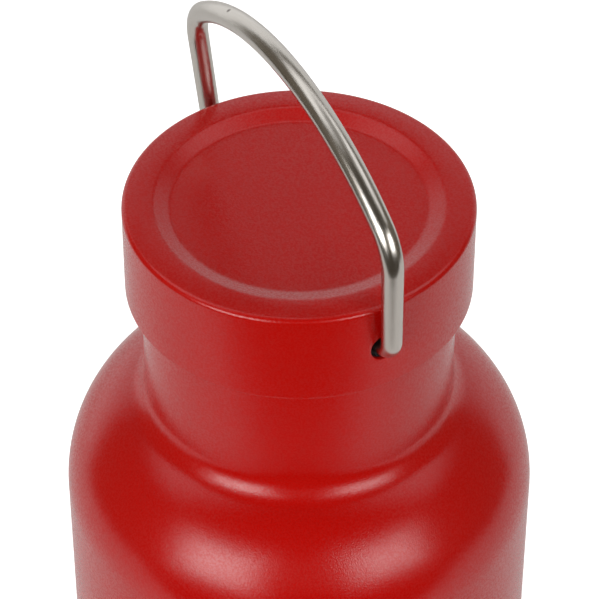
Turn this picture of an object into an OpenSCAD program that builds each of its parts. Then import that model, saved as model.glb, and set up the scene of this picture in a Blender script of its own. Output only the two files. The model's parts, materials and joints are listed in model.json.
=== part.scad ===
// Insulated water bottle: a double-wall steel flask with a screw cap and a wire bail.
// +Z is up, the origin is the middle of the base, and the bail turns about the X axis.

/* [Bottle body] */
// Outside diameter of the body
body_d = 73; // [68:0.5:90]
// Height of the straight side, up to where the shoulder starts
body_h = 169; // [120:1:240]
// Radius of the rounded shoulder
shoulder_r = 20.4; // [17:0.2:22]
// Radius of the hollow curve between shoulder and neck
neck_fillet = 5; // [4:0.25:8]
// Outside diameter of the neck
neck_d = 47.4; // [46:0.1:47.8]
// Height of the drinking lip above the start of the shoulder
lip_rise = 43; // [40:0.5:50]
// Wall of the outer shell
shell_t = 0.6; // [0.4:0.05:0.8]

/* [Base] */
// Height of the welded bottom cup
base_cup_h = 3; // [2.8:0.1:4]
// Outside corner radius of the bottom cup
base_corner = 2.5; // [2:0.1:2.7]
// Inside radius of the standing ring
foot_in_r = 31.4; // [28:0.2:32]
// Depth of the recess under the bottle
base_recess = 2.2; // [1.8:0.1:2.6]
// Radius of the dimple that holds the vacuum seal
dimple_r = 6; // [5:0.25:8]
// Depth of that dimple
dimple_d = 1.2; // [0.9:0.1:1.4]
// Diameter of the pump-out hole
pump_hole_d = 2.8; // [2:0.2:4]
// Thickness of the trim disc under the base
base_disc_t = 0.6; // [0.4:0.1:0.8]

/* [Inner vessel] */
// Vacuum gap between the two walls along the body
vacuum_gap = 2.9; // [2:0.1:4]
// Wall of the inner vessel
liner_t = 0.5; // [0.4:0.05:0.8]
// Height of the underside of the inner vessel above the table
liner_z = 6.2; // [6:0.1:9]
// Corner radius of the inner vessel's bottom
liner_corner = 6; // [4:0.5:9]
// Height of the inner vessel's welded bottom cup
liner_cup_h = 8; // [7:0.5:12]
// Shoulder radius of the inner vessel
liner_shoulder_r = 18; // [16:0.25:19]
// Hollow curve between the inner vessel's shoulder and neck
liner_fillet = 9; // [7:0.25:10]
// How far the inner shoulder starts below the outer one
liner_drop = 1; // [0.5:0.1:2]
// Thickness of the copper radiation foil
foil_t = 0.15; // [0.1:0.05:0.3]
// Diameter of the getter capsule
getter_d = 10; // [6:0.5:14]
// Height of the getter capsule
getter_h = 1.5; // [1:0.1:2]

/* [Mouth] */
// Bore of the mouth
mouth_d = 42; // [41.6:0.1:42.4]
// Wall of the threaded mouth ring
mouth_t = 0.8; // [0.6:0.05:1]
// Depth of the threaded mouth ring below the lip
mouth_ring_h = 13; // [12:0.5:15]
// Thickness of the drinking lip
lip_t = 1.3; // [1:0.1:1.6]
// Depth below the lip at which the thread starts
thread_depth = 10.3; // [10:0.1:10.6]

/* [Screw thread] */
// Lead of the thread, one turn of the cap
lead = 4; // [3.6:0.1:4.4]
// Height of a thread ridge
thread_h = 1.1; // [0.9:0.05:1.2]
// Width of a thread ridge at its root
thread_w = 1.7; // [1.4:0.1:1.8]
// Radial clearance between plug and mouth
thread_gap = 0.4; // [0.3:0.05:0.5]
// Turns of thread on the mouth and on the plug
thread_turns = 1.75; // [1.25:0.25:1.75]

/* [Cap] */
// Outside diameter of the cap
cap_d = 52.2; // [51:0.2:56]
// Height of the cap
cap_h = 15.6; // [15:0.2:18]
// How far the cap's edge hangs below the lip
cap_overlap = 2.4; // [2:0.1:3]
// Wall of the steel cap shell
cap_t = 0.6; // [0.4:0.05:0.7]
// Radius of the cap's top edge
cap_edge = 0.9; // [0.8:0.05:1.2]
// Outer radius of the dish in the cap's top
dish_out_r = 21.5; // [20:0.1:22]
// Width of the sloping step round the dish
dish_step = 2.8; // [2.4:0.1:3.4]
// Depth of the dish
dish_depth = 1; // [0.8:0.05:1.2]
// Thickness of the adhesive pad under the dish
pad_t = 0.4; // [0.3:0.05:0.8]
// Wall of the plastic skirt inside the cap shell
skirt_t = 1.3; // [1.1:0.05:1.5]
// Thickness of the plastic roof above the foam
roof_t = 2.2; // [1.6:0.1:3]
// Length of the plug below the seal
plug_len = 13.6; // [12:0.1:15]
// Wall of the plug
plug_t = 1.8; // [1.4:0.1:2.4]
// Thickness of the steel plate under the plug
plate_t = 0.6; // [0.4:0.1:0.8]
// Thickness of the silicone seal ring
seal_t = 1.1; // [0.9:0.05:1.3]

/* [Bail] */
// Diameter of the bail's wire
wire_d = 3.2; // [3:0.1:3.4]
// Depth of the pivot below the top of the cap
pivot_drop = 8; // [7.6:0.1:8.4]
// Gap between the cap's side and the bail's legs
leg_gap = 0.3; // [0.3:0.05:0.8]
// Angle at which the legs lean outwards
leg_splay = 5.7; // [3:0.1:7]
// Height of the corners above the pivot, before rounding
corner_h = 22.3; // [20:0.1:26]
// Radius of the corners, along the middle of the wire
corner_r = 7.5; // [6:0.1:10]
// Height of the arch above the pivot, along the middle of the wire
arch_h = 34.4; // [32:0.1:40]
// Radius of the bend at the foot of each leg
foot_bend_r = 3.6; // [3:0.1:3.8]
// How far the bail's ends reach inside the cap shell
stub_len = 4.6; // [3.5:0.1:5]
// Angle at which the bail leans at rest
bail_lean = 3.9; // [0:0.1:15]
// Running clearance of the wire in its bush, on the radius
pivot_gap = 0.06; // [0.03:0.01:0.1]
// Wall of the pivot bush
bush_t = 0.6; // [0.5:0.05:0.65]
// Diameter of the hole in the cap's side
side_hole_d = 4.4; // [4.2:0.1:4.8]

/* [Hidden] */
$fn = 96;

// Gap that keeps two flat faces or nested sleeves just clear of each other
seat_gap = 0.05;
// Reach of a cut past the face that it opens
cut_over = 2;
// Largest turn between two points of a curved outline
arc_step = 4;

// Bottle
body_r = body_d / 2;
neck_r = neck_d / 2;
lip_z = body_h + lip_rise;
neck_top_z = lip_z - lip_t;
mouth_r = mouth_d / 2;
lip_step = 0.1;
lip_out_r = neck_r - lip_step;
lip_edge = 0.45;

// Base
disc_margin = 0.15;
plate_z = base_recess;
plate_top_z = plate_z + shell_t;
dimple_z = plate_z + dimple_d;

// Inner vessel
liner_r = body_r - shell_t - vacuum_gap;
liner_neck_r = mouth_r + mouth_t;
liner_body_h = body_h - liner_drop;
liner_top_z = lip_z - mouth_ring_h;
liner_split_z = liner_z + liner_cup_h;
foil_margin = 3;
foil_disc_t = foil_t;
foil_disc_r = liner_r - liner_corner;
getter_pos_r = (dimple_r + foot_in_r) / 2;

// Cap
cap_r = cap_d / 2;
cap_z = lip_z - cap_overlap;
cap_top_z = cap_z + cap_h;
dish_in_r = dish_out_r - dish_step;
dish_angle = 2 * atan(dish_depth / dish_step);
dish_curve_r = dish_step / (2 * sin(dish_angle));
hem_step = 0.3;
hem_w = cap_t + skirt_t - hem_step;
frame_r = cap_r - cap_t - seat_gap;
skirt_in_r = frame_r - skirt_t;
skirt_z = cap_z + cap_edge;
seal_z = lip_z + 2 * seat_gap;
flange_z = seal_z + seal_t + seat_gap;
pad_z = cap_top_z - dish_depth - cap_t - pad_t;
frame_top_z = pad_z;
rim_ring_w = frame_r - dish_out_r;
rim_ring_root = 1;
pad_margin = 0.5;
plug_r = mouth_r - thread_h - thread_gap;
plug_in_r = plug_r - plug_t;
plug_z = flange_z - plug_len;
plate_margin = 0.3;
seal_in_gap = 0.3;
seal_out_gap = 0.2;
foam_gap = 0.15;
foam_ledge = 0.8;
foam_room_r = plug_in_r - foam_ledge;
foam_top_z = frame_top_z - roof_t;

// Thread: the female ridge starts here, and the male one lies half a lead above it
thread_steps = 36;
thread_z = lip_z - thread_depth;
thread_root = 0.3;
thread_taper = 60;

// Bail, drawn in the plane of its wire: u across, v up from the pivot
wire_r = wire_d / 2;
skin_r = wire_r - 0.01;
wire_sides = 20;
bend_step = 9;
arch_step = 4;
pivot_z = cap_top_z - pivot_drop;
leg_u = cap_r + leg_gap + wire_r;
corner_u = leg_u + corner_h * tan(leg_splay);
arch_rise = arch_h - corner_h;
arch_r = (corner_u * corner_u + arch_rise * arch_rise) / (2 * arch_rise);
arch_v = arch_h - arch_r;
leg_dir = [sin(leg_splay), cos(leg_splay)];
leg_in = [-cos(leg_splay), sin(leg_splay)];
corner_base = [leg_u, 0] + leg_in * corner_r - [0, arch_v];
corner_b = corner_base * leg_dir;
corner_c = corner_base * corner_base - pow(arch_r - corner_r, 2);
leg_top = -corner_b + sqrt(corner_b * corner_b - corner_c);
corner_pos = [leg_u, 0] + leg_in * corner_r + leg_dir * leg_top;
corner_to = atan2(corner_pos[1] - arch_v, corner_pos[0]);
foot_len = foot_bend_r * tan((90 - leg_splay) / 2);
foot_u = leg_u - foot_len;
stub_in_u = cap_r - cap_t - stub_len;
bush_out_r = wire_r + pivot_gap + bush_t;
bush_in_r = wire_r + pivot_gap;
bush_floor = 0.3;
bush_back_u = stub_in_u - bush_floor - 2 * seat_gap;
bush_out_u = min(frame_r - bush_floor, foot_u - seat_gap);

// Height from the centre of a shoulder curve to the centre of its neck curve
function fillet_rise(rb, rn, rs, rf) = sqrt(pow(rs + rf, 2) - pow(rn + rf - rb + rs, 2));

// Points on an arc about c from angle a0 to a1, leaving out the first skip of them
function arc(c, r, a0, a1, skip = 0) =
    let (n = ceil(abs(a1 - a0) / arc_step))
    [for (i = [skip : n]) let (a = a0 + (a1 - a0) * i / n) c + r * [cos(a), sin(a)]];

// Wall of a vessel, t thick: straight side, round shoulder, hollow curve and neck.
// The shoulder and the hollow curve share the line between their centres, so they run smooth.
module vessel_wall(rb, rn, rs, rf, z0, z1, z2, t) {
    shoulder_c = [rb - rs, z1];
    hollow_c = [rn + rf, z1 + fillet_rise(rb, rn, rs, rf)];
    join = atan2(hollow_c[1] - shoulder_c[1], hollow_c[0] - shoulder_c[0]);
    rotate_extrude()
        polygon(concat(
            [[rb, z0]],
            arc(shoulder_c, rs, 0, join),
            arc(hollow_c, rf, 180 + join, 180, 1),
            [[rn, z2], [rn - t, z2]],
            arc(hollow_c, rf + t, 180, 180 + join),
            arc(shoulder_c, rs - t, join, 0, 1),
            [[rb - t, z0]]));
}

// Half section of a cup with a rounded bottom edge: floor from r_in outwards, corner and side
module cup_section(r_in, r, h, edge, t) {
    c = [r - edge, edge];
    polygon(concat(
        [[r_in, 0]],
        arc(c, edge, -90, 0),
        [[r, h], [r - t, h]],
        arc(c, edge - t, 0, -90),
        [[r_in, t]]));
}

// Flat ring between two radii
module ring(r_in, r_out, z, h) {
    translate([0, 0, z])
        rotate_extrude()
            translate([r_in, 0])
                square([r_out - r_in, h]);
}

// Helical ridge: its root lies in the wall at root_r and its crest at crest_r.
// The ridge fades to nothing over thread_taper degrees at each end.
module thread_ridge(root_r, crest_r, z, turns) {
    steps = round(turns * thread_steps);
    total = turns * 360;
    flank = 0.5 * thread_h;
    rings = [for (i = [0 : steps])
        let (a = total * i / steps,
             fade = min(1, a / thread_taper, (total - a) / thread_taper),
             tip_r = root_r + (crest_r - root_r) * max(fade, 0.02),
             half_root = thread_w / 2,
             half_tip = max(thread_w / 2 - flank, 0.2),
             zc = z + lead * a / 360)
        [[root_r * cos(a), root_r * sin(a), zc - half_root],
         [tip_r * cos(a), tip_r * sin(a), zc - half_tip],
         [tip_r * cos(a), tip_r * sin(a), zc + half_tip],
         [root_r * cos(a), root_r * sin(a), zc + half_root]]];
    points = [for (r = rings) each r];
    out = crest_r > root_r;
    sides = [for (i = [0 : steps - 1])
        for (j = [0 : 3])
            let (a = 4 * i + j, b = 4 * i + (j + 1) % 4)
            each [out ? [a, b, b + 4] : [a, b + 4, b],
                  out ? [a, b + 4, a + 4] : [a, a + 4, b + 4]]];
    e = 4 * steps;
    caps = out ? [[3, 2, 1, 0], [e, e + 1, e + 2, e + 3]] : [[0, 1, 2, 3], [e + 3, e + 2, e + 1, e]];
    polyhedron(points = points, faces = concat(sides, caps), convexity = 6);
}

// Painted steel outer wall: side, shoulder and neck in one drawn piece
module outer_shell() {
    color("firebrick")
        vessel_wall(body_r, neck_r, shoulder_r, neck_fillet, base_cup_h, body_h, neck_top_z, shell_t);
}

// Stamped bottom cup with a standing ring, a recess and a dimple for the vacuum seal
module outer_base() {
    color("lightgray")
        rotate_extrude() {
            cup_section(foot_in_r, body_r, base_cup_h, base_corner, shell_t);
            translate([foot_in_r, 0])
                square([shell_t, plate_top_z]);
            translate([dimple_r, plate_z])
                square([foot_in_r + shell_t - dimple_r, shell_t]);
            translate([dimple_r, plate_z])
                square([shell_t, dimple_d + shell_t]);
            translate([pump_hole_d / 2, dimple_z])
                square([dimple_r + shell_t - pump_hole_d / 2, shell_t]);
        }
}

// Brushed steel disc glued into the recess under the base
module base_disc() {
    color("silver")
        translate([0, 0, plate_z - base_disc_t - seat_gap])
            cylinder(h = base_disc_t, r = foot_in_r - disc_margin);
}

// Solder bead that closes the pump-out hole
module vacuum_seal() {
    color("dimgray") {
        translate([0, 0, dimple_z - dimple_d / 2])
            cylinder(h = dimple_d / 2, r = pump_hole_d);
        translate([0, 0, dimple_z - dimple_d / 4])
            cylinder(h = shell_t + dimple_d / 4, r = pump_hole_d / 2);
    }
}

// Bare steel inner vessel, from its bottom weld to the mouth ring
module inner_vessel() {
    color("lightgray")
        vessel_wall(liner_r, liner_neck_r, liner_shoulder_r, liner_fillet,
                    liner_split_z, liner_body_h, liner_top_z, liner_t);
}

// Deep-drawn bottom of the inner vessel
module inner_base() {
    color("lightgray")
        translate([0, 0, liner_z])
            rotate_extrude()
                cup_section(0, liner_r, liner_cup_h, liner_corner, liner_t);
}

// Copper foil round the inner vessel, which holds back radiant heat
module foil_wrap() {
    color("peru")
        ring(liner_r + seat_gap, liner_r + seat_gap + foil_t, liner_split_z + foil_margin,
             liner_body_h - liner_split_z - 2 * foil_margin);
}

// Copper foil under the inner vessel
module foil_disc() {
    color("peru")
        translate([0, 0, liner_z - seat_gap - foil_disc_t])
            cylinder(h = foil_disc_t, r = foil_disc_r);
}

// Getter capsule that soaks up stray gas in the vacuum
module getter() {
    color("gray")
        translate([getter_pos_r, 0, plate_top_z])
            cylinder(h = getter_h, d = getter_d);
}

// Steel mouth ring: rolled drinking lip and the female thread
module mouth_ring() {
    outer_c = [lip_out_r - lip_edge, lip_z - lip_edge];
    inner_c = [mouth_r + lip_edge, lip_z - lip_edge];
    color("silver") {
        rotate_extrude()
            polygon(concat(
                [[mouth_r, liner_top_z], [liner_neck_r, liner_top_z],
                 [liner_neck_r, neck_top_z], [lip_out_r, neck_top_z]],
                arc(outer_c, lip_edge, 0, 90),
                arc(inner_c, lip_edge, 90, 180)));
        thread_ridge(mouth_r + thread_root, mouth_r - thread_h, thread_z, thread_turns);
    }
}

// Painted steel cap shell with its dish, its hemmed edge and the two bail holes
module cap_shell() {
    in_c = [dish_in_r, cap_h - dish_depth + dish_curve_r];
    out_c = [dish_out_r, cap_h - dish_curve_r];
    top_c = [cap_r - cap_edge, cap_h - cap_edge];
    hem_c = [cap_r - cap_edge, cap_edge];
    color("firebrick")
        difference() {
            translate([0, 0, cap_z])
                rotate_extrude()
                    polygon(concat(
                        [[0, cap_h - dish_depth]],
                        arc(in_c, dish_curve_r, -90, dish_angle - 90),
                        arc(out_c, dish_curve_r, 90 + dish_angle, 90, 1),
                        arc(top_c, cap_edge, 90, 0),
                        arc(hem_c, cap_edge, 0, -90),
                        [[cap_r - hem_w, 0], [cap_r - hem_w, cap_t]],
                        arc(hem_c, cap_edge - cap_t, -90, 0),
                        arc(top_c, cap_edge - cap_t, 0, 90),
                        arc(out_c, dish_curve_r - cap_t, 90, 90 + dish_angle),
                        arc(in_c, dish_curve_r + cap_t, dish_angle - 90, -90, 1),
                        [[0, cap_h - dish_depth - cap_t]]));
            translate([0, 0, pivot_z])
                rotate([0, 90, 0])
                    cylinder(h = 2 * (cap_r + cut_over), d = side_hole_d, center = true);
        }
}

// Adhesive pad that holds the steel dish to the plastic frame
module cap_pad() {
    color("black")
        translate([0, 0, pad_z + seat_gap])
            cylinder(h = pad_t - 2 * seat_gap, r = dish_in_r - pad_margin);
}

// Plastic frame inside the cap: skirt round the lip, seal land and bores for the bushes
module cap_frame() {
    color("darkslategray")
        difference() {
            union() {
                ring(skirt_in_r, frame_r, skirt_z, frame_top_z - skirt_z);
                translate([0, 0, flange_z])
                    cylinder(h = frame_top_z - flange_z, r = frame_r - skirt_t / 2);
                ring(frame_r - rim_ring_w / 2, frame_r - cap_edge, frame_top_z - rim_ring_root,
                     cap_top_z - cap_t - seat_gap - frame_top_z + rim_ring_root);
            }
            translate([0, 0, flange_z - cut_over])
                cylinder(h = foam_top_z - flange_z + cut_over, r = foam_room_r);
            for (side = [0, 1])
                mirror([side, 0, 0])
                    translate([bush_back_u, 0, pivot_z])
                        rotate([0, 90, 0])
                            cylinder(h = cap_r, r = bush_out_r);
        }
}

// Hard plastic bush that the bail's end turns in, on the side given
module pivot_bush(side) {
    color("black")
        mirror([side, 0, 0])
            translate([bush_back_u, 0, pivot_z])
                rotate([0, 90, 0])
                    difference() {
                        cylinder(h = bush_out_u - bush_back_u, r = bush_out_r);
                        translate([0, 0, bush_floor])
                            cylinder(h = cap_r, r = bush_in_r);
                    }
}

module pivot_bush_near() {
    pivot_bush(0);
}

module pivot_bush_far() {
    pivot_bush(1);
}

// Plastic plug with the male thread
module cap_plug() {
    color("darkslategray") {
        ring(plug_in_r, plug_r, plug_z, plug_len);
        thread_ridge(plug_r - thread_root, plug_r + thread_h, thread_z + lead / 2, thread_turns);
    }
}

// Foam that insulates the cap
module plug_foam() {
    color("ivory")
        translate([0, 0, plug_z + foam_gap])
            cylinder(h = foam_top_z - plug_z - 2 * foam_gap, r = foam_room_r - foam_gap);
}

// Steel plate that closes the plug and faces the drink
module plug_plate() {
    color("silver")
        translate([0, 0, plug_z - plate_t])
            cylinder(h = plate_t, r = plug_r - plate_margin);
}

// Silicone ring that seals the cap on the lip
module seal_ring() {
    color("whitesmoke")
        ring(plug_r + seal_in_gap, lip_out_r - seal_out_gap, seal_z, seal_t);
}

// One bend of the bail's wire as rings of points: centre, radius, first and last angle
function wire_rings(c, r, a0, a1, step, skip = 0) =
    let (n = ceil((a1 - a0) / step))
    [for (i = [skip : n])
        let (a = a0 + (a1 - a0) * i / n)
        [for (j = [0 : wire_sides - 1])
            let (b = 360 * j / wire_sides, out = r + skin_r * cos(b))
            [c[0] + out * cos(a), skin_r * sin(b), c[1] + out * sin(a)]]];

// Swept wire from foot to foot: tight bend, leg, corner, arch, corner, leg and tight bend
module bail_sweep() {
    rings = concat(
        wire_rings([foot_u, foot_bend_r], foot_bend_r, -90, -leg_splay, bend_step),
        wire_rings(corner_pos, corner_r, -leg_splay, corner_to, bend_step),
        wire_rings([0, arch_v], arch_r, corner_to, 180 - corner_to, arch_step, 1),
        wire_rings([-corner_pos[0], corner_pos[1]], corner_r, 180 - corner_to, 180 + leg_splay,
                   bend_step, 1),
        wire_rings([-foot_u, foot_bend_r], foot_bend_r, 180 + leg_splay, 270, bend_step));
    last = len(rings) - 1;
    points = [for (r = rings) each r];
    sides = [for (i = [0 : last - 1])
        for (j = [0 : wire_sides - 1])
            let (a = i * wire_sides + j, b = i * wire_sides + (j + 1) % wire_sides)
            each [[a, b + wire_sides, b], [a, a + wire_sides, b + wire_sides]]];
    first_cap = [for (j = [0 : wire_sides - 1]) j];
    last_cap = [for (j = [wire_sides - 1 : -1 : 0]) last * wire_sides + j];
    polyhedron(points = points, faces = concat(sides, [first_cap, last_cap]), convexity = 6);
}

// Steel wire bail with its two round ends turned in to the bushes
module bail() {
    color("silver")
        translate([0, 0, pivot_z])
            rotate([bail_lean, 0, 0]) {
                bail_sweep();
                for (side = [0, 1])
                    mirror([side, 0, 0])
                        translate([foot_u, 0, 0])
                            rotate([0, -90, 0])
                                cylinder(h = foot_u - stub_in_u, r = wire_r);
            }
}

outer_shell();
outer_base();
base_disc();
vacuum_seal();
inner_vessel();
inner_base();
foil_wrap();
foil_disc();
getter();
mouth_ring();
cap_shell();
cap_pad();
cap_frame();
pivot_bush_near();
pivot_bush_far();
cap_plug();
plug_foam();
plug_plate();
seal_ring();
bail();
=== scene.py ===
# %% [markdown]
# # An insulated water bottle, dressed over its packed frame
# The frame brings twenty solids that already have their true size and place, on four bodies:
# bottle, seal, cap and bail. This lesson keeps that frame and gives it good looks. The big
# visible skins are turned and bent again here with far smoother curves, because the frame's
# own meshes are made of flat facets, and a glossy coat shows every facet.

# %% Load the frame
import json
import math
import bpy
from mathutils import Matrix, Vector
from mathutils.bvhtree import BVHTree


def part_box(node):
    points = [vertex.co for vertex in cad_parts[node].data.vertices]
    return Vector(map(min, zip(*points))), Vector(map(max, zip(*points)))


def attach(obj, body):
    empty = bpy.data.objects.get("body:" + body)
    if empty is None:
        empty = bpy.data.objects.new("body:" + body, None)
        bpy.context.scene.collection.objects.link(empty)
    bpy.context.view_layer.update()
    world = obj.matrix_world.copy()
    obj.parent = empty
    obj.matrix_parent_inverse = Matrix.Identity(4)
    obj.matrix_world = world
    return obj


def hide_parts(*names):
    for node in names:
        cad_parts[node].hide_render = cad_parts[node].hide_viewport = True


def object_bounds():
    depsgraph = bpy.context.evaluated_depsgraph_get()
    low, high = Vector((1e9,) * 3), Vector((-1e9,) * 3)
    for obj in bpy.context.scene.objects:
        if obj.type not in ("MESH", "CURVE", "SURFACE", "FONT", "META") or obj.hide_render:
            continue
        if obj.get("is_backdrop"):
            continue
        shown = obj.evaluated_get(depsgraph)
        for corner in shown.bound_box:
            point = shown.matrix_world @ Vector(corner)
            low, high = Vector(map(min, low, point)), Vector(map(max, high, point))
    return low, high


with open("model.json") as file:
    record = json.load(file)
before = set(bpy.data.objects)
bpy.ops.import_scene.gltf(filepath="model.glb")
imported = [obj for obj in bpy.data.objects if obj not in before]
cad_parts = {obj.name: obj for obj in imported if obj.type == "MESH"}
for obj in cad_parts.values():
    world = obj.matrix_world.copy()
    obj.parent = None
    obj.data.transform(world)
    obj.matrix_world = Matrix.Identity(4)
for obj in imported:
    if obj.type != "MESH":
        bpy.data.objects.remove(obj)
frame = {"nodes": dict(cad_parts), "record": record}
cad_lowest, cad_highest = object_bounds()
print("frame:", len(frame["nodes"]), "nodes, top at", round(cad_highest.z, 4), "m")

# %% [markdown]
# The photograph was taken with a long lens from well above the cap, a little to one side of
# the bail. A long lens keeps the cap's rim almost a true ellipse. The camera is placed by its
# distance and its two angles from the middle of the cap's top, and then aimed at a point on
# the bottle's axis just below the cap, so no shift is needed.

# %% The camera
PHOTO_W, PHOTO_H = 600, 599
CAP_TOP = Vector((0, 0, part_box("cap_shell")[1].z))
VIEW_TURN = math.radians(-28.08)  # round the bottle, from the bail's pivot axis
VIEW_RISE = math.radians(40.86)  # above level
VIEW_REACH = 0.46825  # metres, from the middle of the cap's top
AIM = Vector((0.0001, 0.0001, 0.2053))
LENS_MM, SENSOR_MM = 191.54, 36


def short(values, digits=4):
    """Numbers rounded for printing."""
    return [round(v, digits) for v in values]


toward_camera = Vector((math.cos(VIEW_TURN) * math.cos(VIEW_RISE),
                        math.sin(VIEW_TURN) * math.cos(VIEW_RISE), math.sin(VIEW_RISE)))
camera_data = bpy.data.cameras.new("long_lens")
camera_data.sensor_fit = "AUTO"
camera_data.sensor_width = SENSOR_MM
camera_data.lens = LENS_MM
camera = bpy.data.objects.new("long_lens", camera_data)
bpy.context.scene.collection.objects.link(camera)
camera.location = CAP_TOP + toward_camera * VIEW_REACH
camera.rotation_euler = (AIM - camera.location).to_track_quat("-Z", "Y").to_euler()
bpy.context.scene.camera = camera
bpy.context.view_layer.update()
print("camera at", short(camera.location))

# %% [markdown]
# These places were read off the photograph once. The camera was placed to match them, and
# afterwards they are compared with the finished picture. They are the only pixel numbers in
# this lesson.

# %% Image points
IMAGE_POINTS = {
    "cap_left_x": 121.5, "cap_right_x": 476.3, "cap_back_y": 89.0,
    "cap_front_y": 401.0,
    "body_left_x": 69.2, "body_right_x": 530.2,
    "bail_top_y": 1.0, "bail_left_x": 186.0,
    "bail_right_x": 404.5, "bail_foot_y": 361.5,
    "side_hole_left": (370.6, 351.6),
    "dish_front": (300.0, 299.3), "dish_back": (247.0, 107.5),
    "wire_nick": (228.6, 10.4),
}
print(len(IMAGE_POINTS), "image points")

# %% [markdown]
# A few small helpers save repeating the same steps. The frame leaves its nodes selected, so
# each new piece starts by clearing the selection. A piece that was turned or bent is merged
# at its doubled points, gets its faces turned outwards, and is shaded smooth except at edges
# that are really sharp.

# %% Helpers for making pieces
MM = 0.001
MERGE_WITHIN = 2e-6


def clear_selection():
    """Leaves edit mode and selects nothing."""
    if bpy.context.object and bpy.context.object.mode != "OBJECT":
        bpy.ops.object.mode_set(mode="OBJECT")
    bpy.ops.object.select_all(action="DESELECT")


def only(piece):
    """Selects this piece and nothing else."""
    clear_selection()
    piece.select_set(True)
    bpy.context.view_layer.objects.active = piece


def tidy_mesh(piece, sharp=32, outward=True):
    """Merges doubled points, points the faces outwards and shades all but sharp edges smooth."""
    only(piece)
    bpy.ops.object.mode_set(mode="EDIT")
    bpy.ops.mesh.select_all(action="SELECT")
    bpy.ops.mesh.remove_doubles(threshold=MERGE_WITHIN)
    if outward:
        bpy.ops.mesh.normals_make_consistent(inside=False)
    bpy.ops.object.mode_set(mode="OBJECT")
    bpy.ops.object.shade_smooth_by_angle(angle=math.radians(sharp))


def join(name, pieces):
    """Joins pieces into the first of them and names it."""
    only(pieces[0])
    for piece in pieces[1:]:
        piece.select_set(True)
    bpy.ops.object.join()
    pieces[0].name = name
    return pieces[0]


def apply_modifier(piece, kind, **settings):
    """Adds a modifier, sets it and applies it at once."""
    only(piece)
    modifier = piece.modifiers.new(kind.title(), kind)
    for setting, value in settings.items():
        setattr(modifier, setting, value)
    bpy.ops.object.modifier_apply(modifier=modifier.name)


print("helpers ready; points within", MERGE_WITHIN, "m of each other are merged")

# %% [markdown]
# Nearly every part of a bottle is round, because it is spun, pressed or turned. The natural
# way to model such a part is a lathe: draw half of its outline as a chain of points, then
# spin that chain once round the axis. The chain starts as a plane merged to one point, and
# each step extrudes the last point to the next place. Curved stretches come from a helper
# that gives points on an arc. All outlines are in millimetres, from the axis and above the
# table, and they start from the sizes of the frame's own nodes.

# %% The lathe
LATHE_SIDES = 192


def heights(node):
    """The lowest and the highest point of a frame node, in millimetres."""
    return [corner.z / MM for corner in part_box(node)]


def radius_of(node):
    """How far a frame node reaches from the bottle's axis, in millimetres."""
    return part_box(node)[1].x / MM


def bend(centre, radius, start, end, pieces):
    """Points on an arc of the outline, in millimetres; angles in degrees."""
    turns = [math.radians(start + (end - start) * i / pieces) for i in range(pieces + 1)]
    return [(centre[0] + radius * math.cos(t), centre[1] + radius * math.sin(t)) for t in turns]


def turned(name, outline, closed=True, sharp=32):
    """Extrudes one point along half an outline and spins it round the bottle's axis."""
    clear_selection()
    path = [Vector((x * MM, 0, z * MM)) for x, z in outline]
    if closed:
        path.append(path[0])
    bpy.ops.mesh.primitive_plane_add(size=MM)
    piece = bpy.context.object
    bpy.ops.object.mode_set(mode="EDIT")
    bpy.ops.mesh.merge(type="CENTER")
    bpy.ops.transform.translate(value=path[0])
    for here, there in zip(path, path[1:]):
        bpy.ops.mesh.extrude_region_move(TRANSFORM_OT_translate={"value": there - here})
    bpy.ops.mesh.select_all(action="SELECT")
    bpy.ops.mesh.spin(steps=LATHE_SIDES, angle=2 * math.pi, center=(0, 0, 0), axis=(0, 0, 1))
    bpy.ops.object.mode_set(mode="OBJECT")
    piece.name = name
    tidy_mesh(piece, sharp)
    print(name, len(piece.data.polygons), "faces")
    return piece


print("lathe ready:", LATHE_SIDES, "sides to a turn")

# %% [markdown]
# The painted wall of the bottle is one drawn steel sheet: a straight side, a round shoulder,
# a hollow curve and a neck. Shoulder and hollow share the line between their centres, so the
# highlight runs from one into the other without a kink. Extra points just below the
# shoulder keep the long straight side from taking on the shoulder's shading.

# %% The painted wall
BODY_R, NECK_TOP = radius_of("outer_shell"), heights("outer_shell")[1]
WALL_LOW, WALL_EDGE, NECK_LOW = 3.02, 0.2, 191.05
SHOULDER_R, SHOULDER_Z = 20.4, 169.0
NECK_R, HOLLOW_R, WALL = 23.7, 5.0, 0.6
shoulder_c = (BODY_R - SHOULDER_R, SHOULDER_Z)
run = NECK_R + HOLLOW_R - shoulder_c[0]
hollow_c = (NECK_R + HOLLOW_R, SHOULDER_Z + math.sqrt((SHOULDER_R + HOLLOW_R) ** 2 - run ** 2))
MEET = math.degrees(math.atan2(hollow_c[1] - shoulder_c[1], run))

outside = ([(BODY_R - WALL_EDGE, WALL_LOW)]
           + bend((BODY_R - WALL_EDGE, WALL_LOW + WALL_EDGE), WALL_EDGE, -80, 0, 4)
           + [(BODY_R, z) for z in (4, 30, 80, 130, 160, 167, 168.4)]
           + bend(shoulder_c, SHOULDER_R, 0, MEET, 36)
           + bend(hollow_c, HOLLOW_R, 180 + MEET, 180, 20)[1:]
           + [(NECK_R, z) for z in (192, 196, 203, 209)])
inside = [(NECK_R, NECK_TOP), (NECK_R - WALL, NECK_TOP), (NECK_R - WALL, NECK_LOW)]
inside += bend(hollow_c, HOLLOW_R + WALL, 180, 180 + MEET, 8)[1:]
inside += bend(shoulder_c, SHOULDER_R - WALL, MEET, 0, 10)[1:] + [(BODY_R - WALL, WALL_LOW)]
painted_wall = turned("painted_wall", outside + inside)

# %% [markdown]
# The screw cap has a thin steel cover. Its top is a shallow dish inside a rim, and the way
# down into the dish is a short cone with a soft bend at each end. On the real cap the press
# leaves the rim a little crowned and the dish a little hollow, which is what makes the
# reflections in them fade from one side to the other, so both are drawn here.

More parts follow.
